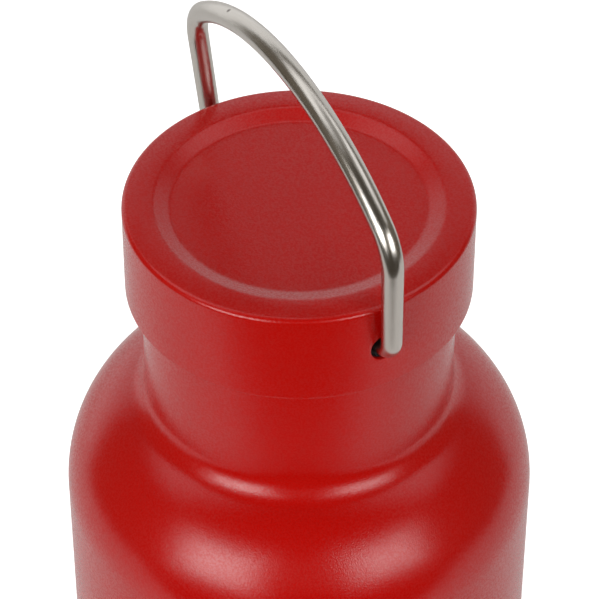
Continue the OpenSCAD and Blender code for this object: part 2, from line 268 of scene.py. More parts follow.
# %% The cap's top
CAP_LOW, CAP_HIGH = heights("cap_shell")
CAP_R, TOP_EDGE, HEM_EDGE, SHEET = 26.1, 0.8, 0.35, 0.6
DISH_DEEP, CONE_TURN, CONE_BEND, DISH_OUT = 1.0, 22.0, 2.2, 22.0
RIM_PEAK, RIM_FALL, DISH_HOLLOW = 22.9, 0.1, 0.02
RIM_R = CAP_R - TOP_EDGE


def rim_height(r):
    """The rim is highest near the dish and falls away a little towards its edge."""
    return CAP_HIGH - RIM_FALL * ((r - RIM_PEAK) / (RIM_R - RIM_PEAK)) ** 2


FLOOR = rim_height(DISH_OUT) - DISH_DEEP
cone = math.radians(CONE_TURN)
cone_run = (DISH_DEEP - 2 * CONE_BEND * (1 - math.cos(cone))) / math.tan(cone)
DISH_IN = DISH_OUT - 2 * CONE_BEND * math.sin(cone) - cone_run

floor_line = [(r, FLOOR - DISH_HOLLOW * (1 - (r / DISH_IN) ** 2))
              for r in (0, 2, 4, 6, 8, 10, 12, 14, 16, 17.5)]
cone_line = (bend((DISH_IN, FLOOR + CONE_BEND), CONE_BEND, -90, CONE_TURN - 90, 8)
             + bend((DISH_OUT, rim_height(DISH_OUT) - CONE_BEND), CONE_BEND, 90 + CONE_TURN, 92, 8))
rim_line = [(r, rim_height(r)) for r in (22.3, 22.6, 22.9, 23.3, 23.7, 24.1, 24.5, 24.9, 25.2)]
print("the dish floor ends", round(DISH_IN, 2), "mm from the axis")

# %% [markdown]
# The cover's outline goes on over a small round edge, down the side, round the hem and back
# up inside, so that the spun piece is a closed sheet with a real thickness, as it has to be
# for holes to be cut through it. The dish's sheet is a little thinner, because the press
# stretched it. The outline starts and ends on the axis, so the chain isn't closed there.

# %% Spin the cover
PIVOT_DROP, HEM_IN, DISH_SHEET = 8, 24.5, 0.55
PIVOT = Vector((0, 0, CAP_HIGH - PIVOT_DROP)) * MM
side_line = (bend((RIM_R, rim_height(RIM_R) - TOP_EDGE), TOP_EDGE, 85, 0, 12)
             + [(CAP_R, z) for z in (CAP_HIGH - 1, CAP_HIGH - 3, 221, 219, 215, 213, CAP_LOW + 0.6)]
             + bend((CAP_R - HEM_EDGE, CAP_LOW + HEM_EDGE), HEM_EDGE, 0, -90, 8))
hem_line = [(HEM_IN + 0.1, CAP_LOW), (HEM_IN, CAP_LOW + 0.1), (HEM_IN, CAP_LOW + SHEET),
            (CAP_R - SHEET, CAP_LOW + SHEET), (CAP_R - SHEET, CAP_HIGH - SHEET - RIM_FALL),
            (DISH_OUT, CAP_HIGH - SHEET - RIM_FALL),
            (DISH_IN, FLOOR - DISH_SHEET), (0, FLOOR - DISH_SHEET)]
cap_cover = turned("cap_cover", floor_line + cone_line + rim_line + side_line + hem_line,
                   closed=False)

# %% [markdown]
# The two holes for the bail are punched in line, straight through the cover. A drill the size
# of the hole does it here with a Boolean modifier, and the punched edge is then broken by a
# tenth of a millimetre, because paint never sits on a knife edge.

# %% Punch the bail's holes
HOLE_R, HOLE_BREAK, ON_EDGE = 2.2, 0.12, 2e-5
clear_selection()
bpy.ops.mesh.primitive_cylinder_add(vertices=64, radius=HOLE_R * MM, depth=2.4 * CAP_R * MM,
                                    location=PIVOT, rotation=(0, math.pi / 2, 0))
drill = bpy.context.object
apply_modifier(cap_cover, "BOOLEAN", operation="DIFFERENCE", object=drill, solver="EXACT")
bpy.data.objects.remove(drill)
only(cap_cover)
bpy.ops.object.mode_set(mode="EDIT")
bpy.ops.mesh.select_all(action="DESELECT")
bpy.ops.object.mode_set(mode="OBJECT")


def on_hole(point, radius, within):
    """True where a point of the cover's outer face is this far, in mm, from a hole's middle."""
    from_pivot = math.hypot(point.y, point.z - PIVOT.z)
    from_axis = math.hypot(point.x, point.y)
    return abs(from_pivot - radius * MM) < within and from_axis > (CAP_R - 0.1) * MM


rim_points = {v.index for v in cap_cover.data.vertices if on_hole(v.co, HOLE_R, ON_EDGE)}
for edge in cap_cover.data.edges:
    edge.select = edge.vertices[0] in rim_points and edge.vertices[1] in rim_points
bpy.ops.object.mode_set(mode="EDIT")
bpy.ops.mesh.select_mode(type="EDGE")
bpy.ops.mesh.bevel(offset=HOLE_BREAK * MM, segments=2, affect="EDGES")
bpy.ops.mesh.select_mode(type="VERT")
tidy_mesh(cap_cover, outward=False)
print("hole rims broken:", len(rim_points), "points")

# %% [markdown]
# The standing ring under the bottle is a separate stamped cup, welded to the wall and left
# unpainted. It turns in at the ring, rises to a plate, and has a dimple in the middle, where
# the pump-out hole of the vacuum was sealed. Its stamped corners are all a little round.

# %% The stamped base
BASE_TOP = heights("outer_base")[1]
base_line = (bend((34, 2.5), 2.5, 0, -90, 14) + [(31.9, 0)]
             + bend((31.9, 0.5), 0.5, -90, -180, 6) + [(31.4, 1.7)]
             + bend((30.9, 1.7), 0.5, 0, 90, 5) + [(20, 2.2), (6.5, 2.2)]
             + bend((6.5, 2.7), 0.5, -90, -180, 5) + [(6, 3.0)]
             + bend((5.6, 3.0), 0.4, 0, 90, 4) + [(1.5, 3.4), (1.4, 3.5), (1.4, BASE_TOP)]
             + [(6.6, BASE_TOP), (6.6, 2.8), (32, 2.8), (32, 0.6), (34, 0.6)]
             + bend((34, 2.5), 1.9, -90, 0, 6)[1:] + [(35.9, 3.0), (36.3, 3.0), (36.5, 2.85)])
stamped_base = turned("stamped_base", base_line, sharp=40)

# %% [markdown]
# A thin disc is pressed into the recess and hides the seal. A shallow step near its edge
# stiffens it. It is seen from below only, where its turned finish shows best.

# %% The disc under the base
disc_low, disc_high = heights("base_disc")
disc_r = radius_of("base_disc")
DISC_EDGE, PANEL_UP = 0.25, 0.18
step = [(25.0, PANEL_UP), (25.3, 0.165), (25.6, 0.09), (25.9, 0.015), (26.2, 0)]
disc_line = ([(r, disc_low + PANEL_UP) for r in (0, 12, 24)]
             + [(r, disc_low + up) for r, up in step] + [(30.6, disc_low)]
             + bend((disc_r - DISC_EDGE, disc_low + DISC_EDGE), DISC_EDGE, -90, 0, 4)
             + [(disc_r, disc_high), (0, disc_high)])
base_trim = turned("base_trim", disc_line, closed=False)

# %% [markdown]
# The cap screws into the mouth, so the drinking ring has its thread on the inside and the
# plug has one on the outside. A thread is one small section carried along a helix, which is
# what Blender's Screw modifier does. Each end fades out over a sixth of a turn, as on a
# rolled or moulded thread, by sinking the crest back into the wall. A trace of the ridge is
# left even at its very ends, so that no faces fall together there.

# %% A thread
LEAD, THREAD_TURNS, THREAD_STEPS = 4.0, 1.75, 72
THREAD_W, THREAD_TIP, FLANK = 1.7, 0.6, 0.22
FADE_DEGREES, LEAST_RIDGE = 60, 0.02


def thread(name, root, crest, low):
    """A helical ridge from the root radius to the crest radius, in millimetres."""
    slope = crest - root
    section = [(root, low - THREAD_W / 2), (root + slope * 0.55, low - THREAD_TIP / 2 - FLANK),
               (root + slope * 0.9, low - THREAD_TIP / 2), (crest, low - 0.1), (crest, low + 0.1),
               (root + slope * 0.9, low + THREAD_TIP / 2),
               (root + slope * 0.55, low + THREAD_TIP / 2 + FLANK), (root, low + THREAD_W / 2)]
    clear_selection()
    bpy.ops.mesh.primitive_circle_add(vertices=len(section), radius=MM)
    ridge = bpy.context.object
    for point, (x, z) in zip(ridge.data.vertices, section):
        point.co = (x * MM, 0, z * MM)
    ridge.data.update()
    steps = round(THREAD_STEPS * THREAD_TURNS)
    apply_modifier(ridge, "SCREW", axis="Z", angle=2 * math.pi * THREAD_TURNS,
                   screw_offset=LEAD * THREAD_TURNS * MM, steps=steps, render_steps=steps,
                   use_smooth_shade=True)
    for point in ridge.data.vertices:
        turn = point.index // len(section) / THREAD_STEPS * 360
        fade = min(1, turn / FADE_DEGREES, (THREAD_TURNS * 360 - turn) / FADE_DEGREES)
        out = Vector((point.co.x, point.co.y))
        out *= (root * MM + (out.length - root * MM) * max(fade, LEAST_RIDGE)) / out.length
        point.co.x, point.co.y = out
    only(ridge)
    bpy.ops.object.mode_set(mode="EDIT")
    bpy.ops.mesh.select_all(action="SELECT")
    bpy.ops.mesh.fill_holes(sides=0)
    bpy.ops.object.mode_set(mode="OBJECT")
    tidy_mesh(ridge, sharp=40)
    last = max(ridge.data.vertices, key=lambda v: v.co.z).co
    print(name, "ends at", round(math.degrees(math.atan2(last.y, last.x))), "degrees")
    return ridge


print("thread ready: it climbs", LEAD, "mm a turn, for", THREAD_TURNS, "turns")

# %% [markdown]
# The drinking ring is turned from thicker steel. Its upper edge is rounded for the mouth and
# its lower end is welded to the inner vessel. The thread is joined to it as one piece.

# %% The drinking ring
lip_low, lip_high = heights("mouth_ring")
MOUTH_R, LIP_R, LIP_EDGE = 21.0, 23.6, 0.45
MOUTH_ROOT, MOUTH_CREST, THREAD_DOWN = 21.3, 19.9, 10.3
lip_line = ([(MOUTH_R + 0.1, lip_low), (21.8, lip_low), (21.8, NECK_TOP)]
            + [(LIP_R, NECK_TOP), (LIP_R, NECK_TOP + 0.5)]
            + bend((LIP_R - LIP_EDGE, lip_high - LIP_EDGE), LIP_EDGE, 0, 90, 6)
            + bend((MOUTH_R + LIP_EDGE, lip_high - LIP_EDGE), LIP_EDGE, 90, 180, 6)
            + [(MOUTH_R, lip_high - 1), (MOUTH_R, lip_low + 0.6), (MOUTH_R, lip_low + 0.1)])
ring = turned("drinking_ring", lip_line)
THREAD_LOW = lip_high - THREAD_DOWN
mouth_thread = thread("mouth_thread", MOUTH_ROOT, MOUTH_CREST, THREAD_LOW)
drinking_ring = join("drinking_ring", [ring, mouth_thread])

# %% [markdown]
# The plug under the cap is a moulded tube with the matching thread. Its lower rim is rounded,
# as a moulding's rim is, and a pressed steel plate closes it, so that the drink only meets
# steel. The plate has a shallow dome and a rolled edge.

# %% The plug and its plate
plug_low, plug_high = heights("cap_plug")
PLUG_R, PLUG_IN, PLUG_ROOT, PLUG_CREST = 19.5, 17.7, 19.2, 20.6
OUTER_EDGE, INNER_EDGE = 0.4, 0.3
plug_line = ([(PLUG_IN, plug_low + INNER_EDGE), (PLUG_IN, plug_high), (PLUG_R, plug_high)]
             + [(PLUG_R, plug_high - 0.6), (PLUG_R, plug_low + 1.2)]
             + bend((PLUG_R - OUTER_EDGE, plug_low + OUTER_EDGE), OUTER_EDGE, 0, -90, 5)
             + bend((PLUG_IN + INNER_EDGE, plug_low + INNER_EDGE), INNER_EDGE, -90, -180, 4)[:-1])
tube = turned("screw_plug", plug_line)
plug_thread = thread("plug_thread", PLUG_ROOT, PLUG_CREST, THREAD_LOW + LEAD / 2)
screw_plug = join("screw_plug", [tube, plug_thread])

plate_low, plate_high = heights("plug_plate")
plate_r = radius_of("plug_plate")
DOME_R, DOME_UP, PLATE_EDGE = 15, 0.25, 0.3
plate_line = ([(r, plate_low + DOME_UP * (1 - r / DOME_R)) for r in (0, 5, 10, 13)]
              + [(DOME_R, plate_low + 0.01), (15.6, plate_low)]
              + bend((plate_r - PLATE_EDGE, plate_low + PLATE_EDGE), PLATE_EDGE, -90, 90, 8)
              + [(0, plate_high)])
plug_plate = turned("plug_plate_pressed", plate_line, closed=False)

# %% [markdown]
# A silicone ring under the cap's flange seals on the drinking lip. It is a moulded ring with
# round edges and a raised bead in the middle of its lower face, which gives way first.

# %% The sealing ring
seal_low, seal_high = heights("seal_ring")
SEAL_IN, SEAL_OUT, SEAL_EDGE, BEAD_AT, BEAD_R = 19.8, 23.4, 0.3, 21.6, 0.35
edge_low = seal_low + 0.42
seal_line = (bend((SEAL_IN + SEAL_EDGE, seal_high - SEAL_EDGE), SEAL_EDGE, 180, 90, 4)
             + bend((SEAL_OUT - SEAL_EDGE, seal_high - SEAL_EDGE), SEAL_EDGE, 90, 0, 4)
             + bend((SEAL_OUT - SEAL_EDGE, edge_low), SEAL_EDGE, 0, -90, 4)
             + bend((BEAD_AT, seal_low + BEAD_R), BEAD_R, -30, -150, 6)
             + bend((SEAL_IN + SEAL_EDGE, edge_low), SEAL_EDGE, -90, -180, 4))
sealing_ring = turned("sealing_ring", seal_line)

# %% [markdown]
# The bail is one steel wire, bent cold. It runs out through the side hole on a short straight
# end, turns up, leans out a little, bends at a tight corner and goes over the cap in one flat
# arch. Half of it is extruded and spun in the bail's own plane, which leans a few degrees,
# and the other half is its mirror image. The chain of points along its middle is kept too,
# because the thickness and the lines of the steel are measured along it later.

# %% The plane and the corners of the bail
WIRE_SIDES, WIRE_R = 28, 1.7
LEAN = Matrix.Rotation(math.radians(3.9), 3, "X")
SPLAY = 5.7
FOOT_C, FOOT_R = (24.741, 3.6), 3.6
CORNER_R, CORNER_TO = 7.5, 51.945
ARCH_C, ARCH_R = (0, -9.6), 43.802
STUB_START, STUB_STEP = 20.9, 0.4
corner_c = ((ARCH_R - CORNER_R) * math.cos(math.radians(CORNER_TO)),
            ARCH_C[1] + (ARCH_R - CORNER_R) * math.sin(math.radians(CORNER_TO)))


def on_bail(across, up, off=0):
    """A place in the bail's own plane, in millimetres from the pivot, as a place in the scene."""
    return PIVOT + LEAN @ Vector((across, off, up)) * MM


wire_line = ([(STUB_START + STUB_STEP * i, 0) for i in range(10)]
             + bend(FOOT_C, FOOT_R, -90, -SPLAY, 24)
             + bend(corner_c, CORNER_R, -SPLAY, CORNER_TO, 30)
             + bend(ARCH_C, ARCH_R, CORNER_TO, 90, 60)[1:])
print("corner of the bail at", short(corner_c, 2), "mm from the pivot")

# %% [markdown]
# Each ring of the tube is twenty-eight points. A straight run is one extrusion by a vector,
# and a bend is one spin about the middle of the bend. Turning the end ring by spinning keeps
# it square to the wire, which is why no ring has to be rotated by hand.

# %% Bend the wire
SPIN_AXIS = LEAN @ Vector((0, 1, 0))
clear_selection()
bpy.ops.mesh.primitive_circle_add(vertices=WIRE_SIDES, radius=WIRE_R * MM, fill_type="NGON",
                                  location=on_bail(STUB_START, 0),
                                  rotation=(0, math.pi / 2, 0))
bail_wire = bpy.context.object
bpy.ops.object.transform_apply(location=True, rotation=True, scale=True)
bpy.ops.object.mode_set(mode="EDIT")
bpy.ops.mesh.select_all(action="SELECT")


def run_to(start, end, pieces):
    """Extrudes the end ring along a straight stretch."""
    step = (on_bail(*end) - on_bail(*start)) / pieces
    for _ in range(pieces):
        bpy.ops.mesh.extrude_region_move(TRANSFORM_OT_translate={"value": step})


def bend_round(centre, degrees, steps):
    """Spins the end ring about the middle of a bend."""
    bpy.ops.mesh.spin(steps=steps, angle=math.radians(degrees), center=on_bail(*centre),
                      axis=SPIN_AXIS)


run_to((STUB_START, 0), (FOOT_C[0], 0), 3)
bend_round(FOOT_C, 90 - SPLAY, 16)
leg_low = bend(FOOT_C, FOOT_R, -SPLAY, -SPLAY, 1)[0]
leg_high = bend(corner_c, CORNER_R, -SPLAY, -SPLAY, 1)[0]
run_to(leg_low, leg_high, 6)
bend_round(corner_c, CORNER_TO + SPLAY, 20)
bend_round(ARCH_C, 90 - CORNER_TO, 30)
bpy.ops.object.mode_set(mode="OBJECT")
print("half the wire:", len(bail_wire.data.vertices), "points, to",
      short(bail_wire.data.vertices[-1].co))

# %% [markdown]
# The far half is the mirror image of the near half. The last ring lies exactly in the middle,
# so its end face is taken off first and the two halves merge there without a wall inside.

# %% Mirror the wire
AT_MIDDLE = 1e-5
only(bail_wire)
bpy.ops.object.mode_set(mode="EDIT")
bpy.ops.mesh.select_mode(type="FACE")
bpy.ops.mesh.select_all(action="DESELECT")
bpy.ops.object.mode_set(mode="OBJECT")
for face in bail_wire.data.polygons:
    face.select = face.center.x < AT_MIDDLE
bpy.ops.object.mode_set(mode="EDIT")
bpy.ops.mesh.delete(type="ONLY_FACE")
bpy.ops.mesh.select_mode(type="VERT")
bpy.ops.object.mode_set(mode="OBJECT")
for point in bail_wire.data.vertices:
    if point.co.x < AT_MIDDLE:
        point.co.x = 0
apply_modifier(bail_wire, "MIRROR", use_axis=(True, False, False), use_mirror_merge=True,
               merge_threshold=AT_MIDDLE)
tidy_mesh(bail_wire, sharp=40)
print("whole wire:", len(bail_wire.data.vertices), "points")

# %% [markdown]
# In the photograph the wire is a little thicker over the arch than at the feet, where it was
# drawn thinner to fit its bushes. For each point of the tube the nearest place on the middle
# line gives the run along the wire. That run sets the thickness here, and it is also kept as
# an attribute, a picture of the wire pulled straight, so that the drawing lines in the steel
# can follow the bends later. The attribute counts from the top of the arch, to both sides,
# because the two halves meet there and a jump would show as a seam.

# %% Thin the feet and straighten the grain
THIN_R, THIN_TO, FULL_FROM = 1.55, 5, 50
middle_line = [Vector((u, v)) for u, v in wire_line]
reach = [0.0]
for here, there in zip(middle_line, middle_line[1:]):
    reach.append(reach[-1] + (there - here).length)
unlean = LEAN.transposed()
straight = bail_wire.data.attributes.new("wire_pulled_straight", "FLOAT_VECTOR", "POINT")
for point in bail_wire.data.vertices:
    place = unlean @ (point.co - PIVOT) / MM
    flat = Vector((abs(place.x), place.z))
    best = None
    for i, (here, there) in enumerate(zip(middle_line, middle_line[1:])):
        along = there - here
        share = max(0, min(1, (flat - here).dot(along) / along.length_squared))
        gap = (flat - here - along * share).length
        if best is None or gap < best[0]:
            best = (gap, reach[i] + along.length * share, here + along * share, along.normalized())
    gap, length, nearest, heading = best
    aside = (flat - nearest).cross(heading)
    grow = min(1, max(0, (length - THIN_TO) / (FULL_FROM - THIN_TO)))
    thick = (THIN_R + (WIRE_R - THIN_R) * grow * grow * (3 - 2 * grow)) / WIRE_R
    moved = nearest + (flat - nearest) * thick
    point.co = on_bail(math.copysign(moved.x, place.x), moved.y, place.y * thick)
    side = math.copysign(1, place.x)
    straight.data[point.index].vector = (aside * MM, place.y * thick * MM,
                                         side * (reach[-1] - length) * MM)
bail_wire.name = "bail_wire"
bail_wire.data.update()
print("wire is", round(reach[-1] * 2, 1), "mm long")

# %% [markdown]
# The smaller parts inside the cap and the bottle keep the frame's own shapes. Those that can
# be seen when the cap is off are copied, merged and shaded smooth, so that a round part looks
# round. The copy is a new object with its own mesh, and the frame's node stays untouched.

# %% Smooth copies of the frame's round parts
MOULDED_SHARP = 28


def smooth_copy(node, name, sharp=32):
    """A merged copy of a frame node, shaded smooth between its sharp edges."""
    copy = bpy.data.objects.new(name, frame["nodes"][node].data.copy())
    bpy.context.scene.collection.objects.link(copy)
    tidy_mesh(copy, sharp, outward=False)
    print(name, len(copy.data.polygons), "faces")
    return copy


inner_wall = smooth_copy("inner_vessel", "inner_wall")
inner_floor = smooth_copy("inner_base", "inner_floor")
cap_core = smooth_copy("cap_frame", "cap_core", MOULDED_SHARP)
near_bush = smooth_copy("pivot_bush_near", "near_bush", MOULDED_SHARP)
far_bush = smooth_copy("pivot_bush_far", "far_bush", MOULDED_SHARP)

# %% [markdown]
# A table names, for every piece, the node of the frame that it stands for, the body that
# carries it and the finish that it takes. Each piece is hung on its body, so that it moves
# with the cap or the bail, and its node is hidden.

# %% Ride and replace
PIECES = {
    "outer_shell": (painted_wall, "bottle", "powder_red"),
    "outer_base": (stamped_base, "bottle", "base_steel"),
    "base_disc": (base_trim, "bottle", "disc_steel"),
    "mouth_ring": (drinking_ring, "bottle", "lip_steel"),
    "inner_vessel": (inner_wall, "bottle", "inner_steel"),
    "inner_base": (inner_floor, "bottle", "inner_steel"),
    "seal_ring": (sealing_ring, "seal", "silicone"),
    "cap_shell": (cap_cover, "cap", "powder_red"),
    "cap_frame": (cap_core, "cap", "black_plastic"),
    "cap_plug": (screw_plug, "cap", "black_plastic"),
    "plug_plate": (plug_plate, "cap", "disc_steel"),
    "pivot_bush_near": (near_bush, "cap", "bush_plastic"),
    "pivot_bush_far": (far_bush, "cap", "bush_plastic"),
    "bail": (bail_wire, "bail", "satin_steel"),
}
for node, (piece, body, finish) in PIECES.items():
    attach(piece, body)
    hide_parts(node)
print(len(PIECES), "pieces placed over", len(frame["nodes"]), "nodes")

# %% [markdown]
# ## Finishes
# Each finish is built from shader nodes, but the sums between them are written as ordinary
# arithmetic. A small class wraps a socket, so that `grain * 0.5 + 0.2` or `1 - mask` adds the
# Math nodes by itself.

# %% A little shader arithmetic


class Reading:
    """What changes over a surface; arithmetic on a number adds Math nodes."""

    def __init__(self, finish, socket):
        self.finish, self.socket = finish, socket

    def sum_node(self, operation, first, second):
        return self.finish.make("ShaderNodeMath", {"operation": operation}, {0: first, 1: second})

    def __add__(self, other):
        return self.sum_node("ADD", self, other)

    def __radd__(self, other):
        return self.sum_node("ADD", other, self)

    def __sub__(self, other):
        return self.sum_node("SUBTRACT", self, other)

    def __rsub__(self, other):
        return self.sum_node("SUBTRACT", other, self)

    def __mul__(self, other):
        return self.sum_node("MULTIPLY", self, other)

    def __rmul__(self, other):
        return self.sum_node("MULTIPLY", other, self)

    def __truediv__(self, other):
        return self.sum_node("DIVIDE", self, other)

    def __rtruediv__(self, other):
        return self.sum_node("DIVIDE", other, self)

    def __pow__(self, other):
        return self.sum_node("POWER", self, other)

    def __rpow__(self, other):
        return self.sum_node("POWER", other, self)


print("shader arithmetic ready")

# %% [markdown]
# A finish is one material with its node tree. One method makes every node that isn't a sum:
# its settings first, then its sockets. The others are short names for what every finish here
# needs: noise, a soft step, a mix of two colours, relief and the finished surface. The Mix
# node has a set of sockets for each kind of data, and those for colours go by number, because
# they share their names with the others.

# %% A finish
MIX_SHARE, MIX_FIRST, MIX_SECOND, MIX_COLOUR = 0, 6, 7, 2


class Finish:
    """One material, read at places on its piece, or the world, read by direction."""

    def __init__(self, name, owner=None):
        self.owner = owner or bpy.data.materials.new(name)
        self.owner.use_nodes = True
        self.tree = self.owner.node_tree
        self.tree.nodes.clear()
        self.place = self.make("ShaderNodeTexCoord", out="Generated" if owner else "Object")

    def make(self, kind, settings=None, inputs=None, out=0):
        """Any node, with its settings, then its sockets; gives back one of its outputs."""
        node = self.tree.nodes.new(kind)
        for setting, value in (settings or {}).items():
            setattr(node, setting, value)
        for socket, value in (inputs or {}).items():
            if isinstance(value, Reading):
                self.tree.links.new(value.socket, node.inputs[socket])
            else:
                node.inputs[socket].default_value = value
        return Reading(self, node.outputs[out] if len(node.outputs) else None)

    def noise(self, scale, detail=2.0, rough=0.5, place=None):
        """Smooth noise from 0 to 1; scale is in waves per metre."""
        return self.make("ShaderNodeTexNoise", {"noise_dimensions": "3D"},
                         {"Vector": place or self.place, "Scale": scale, "Detail": detail,
                          "Roughness": rough})

    def stretched(self, place, x, y, z):
        """The same places, scaled differently along each axis."""
        return self.make("ShaderNodeVectorMath", {"operation": "MULTIPLY"},
                         {0: place, 1: (x, y, z)})

    def ramp(self, value, low, high, to_low=0.0, to_high=1.0):
        """A soft step from one value to another."""
        return self.make("ShaderNodeMapRange", {"interpolation_type": "SMOOTHSTEP"},
                         {"Value": value, "From Min": low, "From Max": high,
                          "To Min": to_low, "To Max": to_high})

    def blend(self, share, first, second):
        """Two colours mixed by a share from 0 to 1."""
        return self.make("ShaderNodeMix", {"data_type": "RGBA", "blend_type": "MIX"},
                         {MIX_SHARE: share, MIX_FIRST: first, MIX_SECOND: second}, out=MIX_COLOUR)

    def bump(self, height, distance):
        """Surface relief; distance is in metres."""
        return self.make("ShaderNodeBump", {},
                         {"Height": height, "Distance": distance, "Strength": 1.0})

    def surface(self, **sockets):
        """The finished shader; the socket names are written with _ for a space."""
        named = {name.replace("_", " "): value for name, value in sockets.items()}
        shader = self.make("ShaderNodeBsdfPrincipled", {}, named)
        self.make("ShaderNodeOutputMaterial", {}, {"Surface": shader})
        return self.owner


def colour(red, green, blue):
    """An opaque colour, as its sockets want it."""
    return (red, green, blue, 1.0)


print("finishes can be mixed from", [name for name in vars(Finish) if name[0] != "_"])

# %% [markdown]
# The red is a powder coat: plastic powder, baked until it flows. It sets with a fine grain,
# about a quarter of a millimetre across, which shows inside the highlights only. Two things
# make that grain here: a very shallow relief, with a slower orange peel under it, and small
# specks that shine softly, as a second gloss over the first. The colour changes only a
# little, broadly and with the grain, which keeps it from being one flat red.

# %% Red powder coat
GRAIN_WAVES, PEEL_WAVES, CLOUD_WAVES, SPECK_WAVES = 4200, 700, 45, 3000
COAT_RELIEF = 2.8e-5
coat = Finish("red_powder_coat")
grain = coat.noise(GRAIN_WAVES, 1.0)
peel = coat.noise(PEEL_WAVES, 1.0)
broad = coat.noise(CLOUD_WAVES)
deep_red, bright_red = colour(0.45, 0.0022, 0.0008), colour(0.525, 0.0034, 0.0018)
coat_colour = coat.blend(broad * 0.5 + grain * 0.5, deep_red, bright_red)
coat_relief = coat.bump(grain + peel * 0.1, COAT_RELIEF)
specks = coat.ramp(coat.noise(SPECK_WAVES, rough=0.6), 0.36, 0.64)
red_coat = coat.surface(Base_Color=coat_colour, Roughness=grain * 0.07 + 0.13, Normal=coat_relief,
                        IOR=1.39, Coat_Weight=specks * 0.4, Coat_Roughness=0.28)
print("powder coat:", len(coat.tree.nodes), "nodes")

# %% [markdown]
# The arch of the bail has one small dark nick. It was read off the photograph as an image
# point, and a ray finds its place: it goes from the camera through that point of the picture
# to the first place where it meets the finished wire. Where a ray misses, steps along it find
# the place that is nearest to it.

# %% Rays through the picture
FOCAL = max(PHOTO_W, PHOTO_H) * camera_data.lens / camera_data.sensor_width
SEARCH_FROM, SEARCH_STEP, SEARCH_STEPS = 0.35, 0.0005, 500


def skin_of(pieces):
    """What a ray from the camera can meet: the pieces as they are finished and placed."""
    points, faces = [], []
    for piece in pieces:
        start = len(points)
        points += [v.co.copy() for v in piece.data.vertices]
        faces += [tuple(i + start for i in p.vertices) for p in piece.data.polygons]
    return BVHTree.FromPolygons(points, faces)


def place_on(skin, x, y):
    """The place on a skin that shows at a point of the photograph."""
    across = Vector((x - PHOTO_W / 2 + camera_data.shift_x * max(PHOTO_W, PHOTO_H),
                     PHOTO_H / 2 - y + camera_data.shift_y * max(PHOTO_W, PHOTO_H), -FOCAL))
    ray = (camera.matrix_world.to_3x3() @ across).normalized()
    hit = skin.ray_cast(camera.location, ray)[0]
    if hit is None:
        steps = [camera.location + ray * SEARCH_FROM + ray * SEARCH_STEP * i
                 for i in range(SEARCH_STEPS)]
        hit = min((skin.find_nearest(step) for step in steps), key=lambda near: near[3])[0]
    return hit


nick = place_on(skin_of([bail_wire]), *IMAGE_POINTS["wire_nick"])
print("nick in the wire at", short(nick))

# %% [markdown]
# The bail's wire was drawn through a die and then lightly polished. Drawing leaves very fine
# lines along the wire. So the noise is read from the straightened places kept on the mesh,
# with thousands of waves a metre across the wire and few along it. The same lines make the
# steel's colour, its gloss and a very shallow relief, and the nick is a dark dent in all.

# %% Satin wire
FINE_WAVES, BROAD_WAVES = (9000, 9000, 260), (1800, 1800, 60)
NICK_INNER, NICK_OUTER, WIRE_RELIEF = 0.0002, 0.00045, 1.6e-5
satin = Finish("satin_wire")
pulled = satin.make("ShaderNodeAttribute", {"attribute_type": "GEOMETRY",
                                            "attribute_name": "wire_pulled_straight"}, out="Vector")
lines = satin.noise(1.0, 2.0, 0.6, satin.stretched(pulled, *FINE_WAVES))
broad_lines = satin.noise(1.0, 1.0, 0.5, satin.stretched(pulled, *BROAD_WAVES))
from_nick = satin.make("ShaderNodeVectorMath", {"operation": "DISTANCE"},
                       {0: satin.place, 1: tuple(nick)}, out="Value")
nick_mask = satin.ramp(from_nick, NICK_INNER, NICK_OUTER, 1.0, 0.0)
steel_colour = satin.blend(lines * 0.6 + broad_lines * 0.4, colour(0.51, 0.48, 0.44),
                           colour(0.66, 0.625, 0.58))
steel_colour = satin.blend(nick_mask * 0.85, steel_colour, colour(0.08, 0.06, 0.05))
satin_relief = satin.bump(lines + broad_lines * 0.3 - nick_mask * 0.4, WIRE_RELIEF)
satin_wire = satin.surface(Base_Color=steel_colour, Metallic=1.0,
                           Roughness=lines * 0.12 + 0.16, Normal=satin_relief)
print("satin wire:", len(satin.tree.nodes), "nodes")

# %% [markdown]
# Stamped, spun and turned steel carry their lines in circles round the axis. A circle is a
# place with the same distance from the axis, so the noise is read from that distance, scaled
# up, together with the bare direction, which changes slowly and has no seam.

# %% Steel with circular lines


def round_steel(name, dark, light, rough, line_scale, depth, spread=0.1):
    """Steel brushed or turned in circles round the bottle's axis."""
    steel = Finish(name)
    level = steel.make("ShaderNodeVectorMath", {"operation": "MULTIPLY"},
                       {0: steel.place, 1: (1, 1, 0)})
    from_axis = steel.make("ShaderNodeVectorMath", {"operation": "LENGTH"}, {0: level}, out="Value")
    heading = steel.make("ShaderNodeVectorMath", {"operation": "NORMALIZE"}, {0: level})
    eastward = steel.make("ShaderNodeSeparateXYZ", {}, {0: heading}, out="X")
    height = steel.make("ShaderNodeSeparateXYZ", {}, {0: steel.place}, out="Z")
    circles = steel.make("ShaderNodeCombineXYZ", {},
                         {"X": from_axis * line_scale, "Y": eastward * 3.0,
                          "Z": height * line_scale})
    lines = steel.noise(1.0, 3.0, 0.6, circles)
    cloud = steel.noise(120, 2.0)
    shade = steel.blend(lines * 0.7 + cloud * 0.3, dark, light)
    relief = steel.bump(lines + cloud * 0.2, depth)
    finish = steel.surface(Base_Color=shade, Metallic=1.0, Roughness=lines * spread + rough,
                           Normal=relief)
    print(name, len(steel.tree.nodes), "nodes")
    return finish


